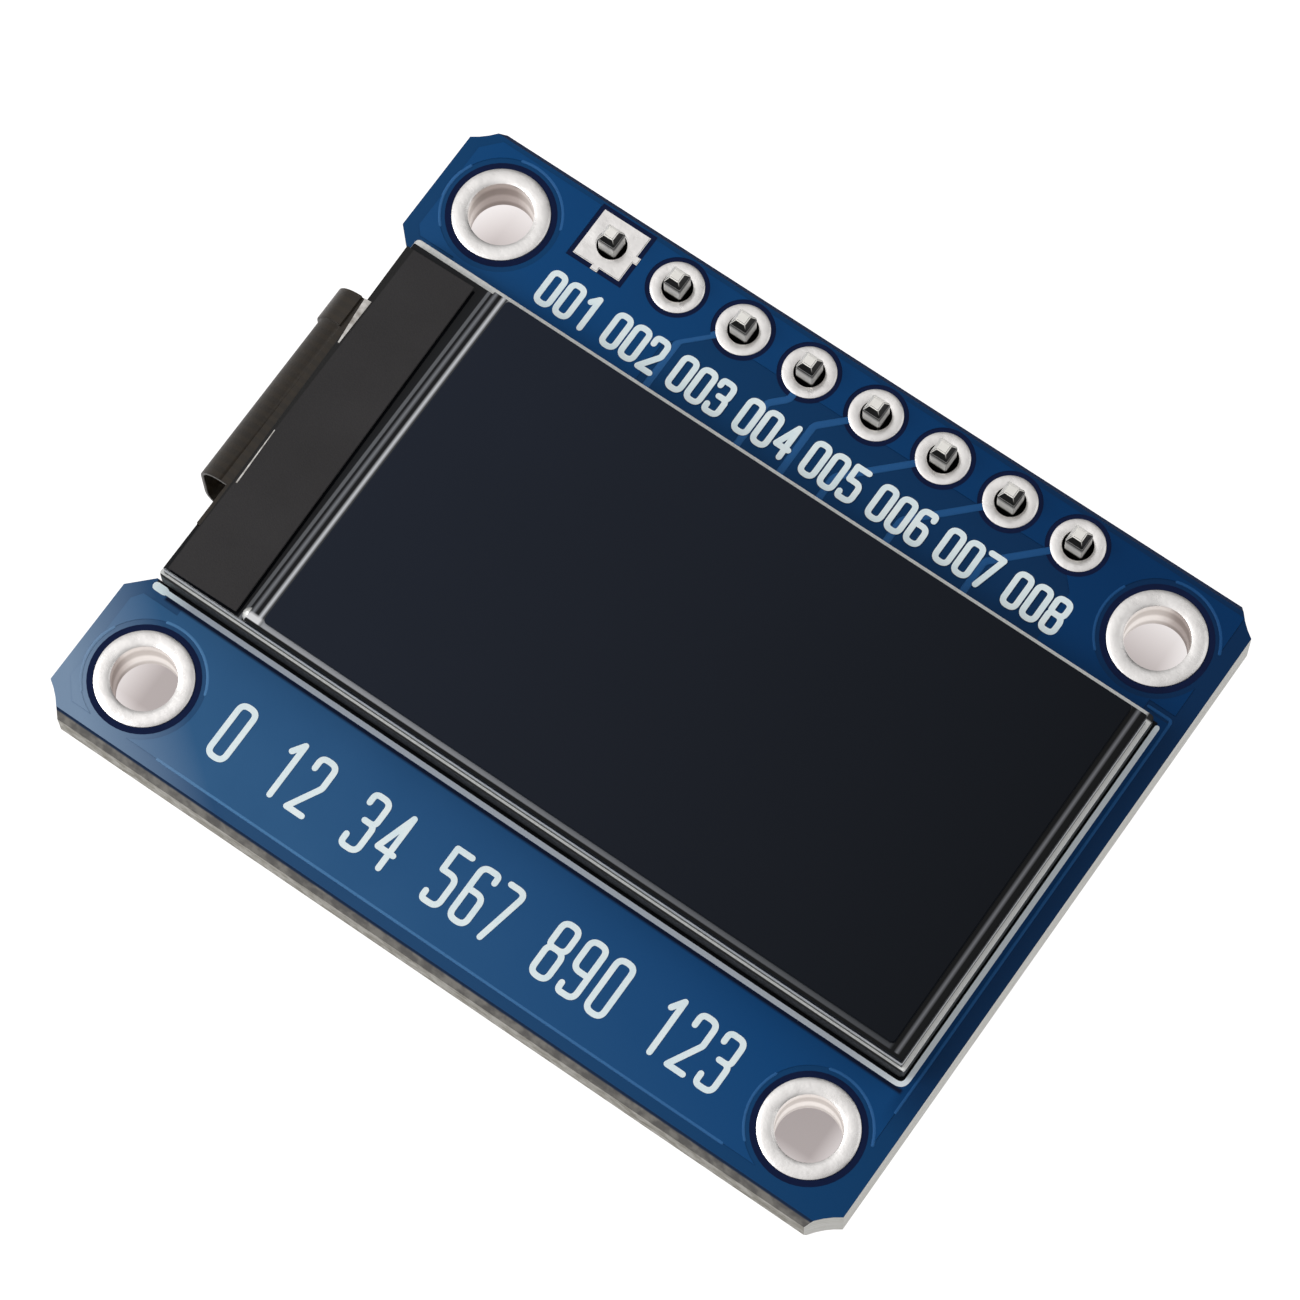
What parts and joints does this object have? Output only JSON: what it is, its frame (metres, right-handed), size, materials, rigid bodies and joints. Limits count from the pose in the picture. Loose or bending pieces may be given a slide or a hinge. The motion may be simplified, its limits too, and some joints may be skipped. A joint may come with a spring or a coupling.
{
  "type": "ips tft lcd module",
  "caption": "Small colour display module: a glass panel on a blue board with a pin header along one edge, a wrapped flex tail and plated corner mounting holes.",
  "frame": {"origin": "centre of the four mounting holes, on the back face of the board", "axes": "+X along the board's long side to the end away from the flex tail, +Y to the edge with the pin header, +Z out of the display"},
  "size_m": [0.0299, 0.024, 0.0118],
  "materials": {
    "board_blue": "blue solder mask over glass epoxy",
    "tinned": "bright tinned copper",
    "pin_metal": "tinned brass",
    "black_plastic": "satin moulded black",
    "white_pad": "white adhesive foam",
    "reflector_white": "bright white film",
    "clear_plastic": "clear polished plastic",
    "led_body": "white resin with yellow phosphor",
    "flex_brown": "dark brown flex",
    "black_tape": "matte black tape",
    "panel_glass": "display glass with cut edges",
    "polarizer": "dark glossy film",
    "silicon": "grey silicon",
    "package_black": "matte moulded black",
    "capacitor_tan": "fired tan ceramic",
    "resistor_black": "black glaze on white ceramic"
  },
  "bodies": {
    "root": {"circuit_board": "board_blue", "mounting_hole_platings": "tinned", "header_hole_platings": "tinned", "header_pins": "pin_metal", "header_insulator": "black_plastic", "panel_adhesive_pad": "white_pad", "backlight_frame": "black_plastic", "reflector_sheet": "reflector_white", "light_guide": "clear_plastic", "diffuser_sheet": "reflector_white", "lower_prism_sheet": "clear_plastic", "upper_prism_sheet": "clear_plastic", "backlight_leds": "led_body", "led_strip": "flex_brown", "light_shield_rim": "black_tape", "lower_polarizer": "polarizer", "tft_glass": "panel_glass", "colour_filter_glass": "panel_glass", "upper_polarizer": "polarizer", "driver_chip": "silicon", "ledge_tape": "black_tape", "shield_paste_dot": "tinned", "flex_tail": "flex_brown", "flex_fingers": "tinned", "flex_solder_pads": "tinned", "flex_solder_joints": "tinned", "component_lands": "tinned", "regulator_body": "package_black", "regulator_leads": "tinned", "transistor_body": "package_black", "transistor_leads": "tinned", "capacitor_bodies": "capacitor_tan", "capacitor_end_caps": "tinned", "resistor_bodies": "resistor_black", "resistor_end_caps": "tinned", "component_solder_joints": "tinned"}
  },
  "joints": []
}
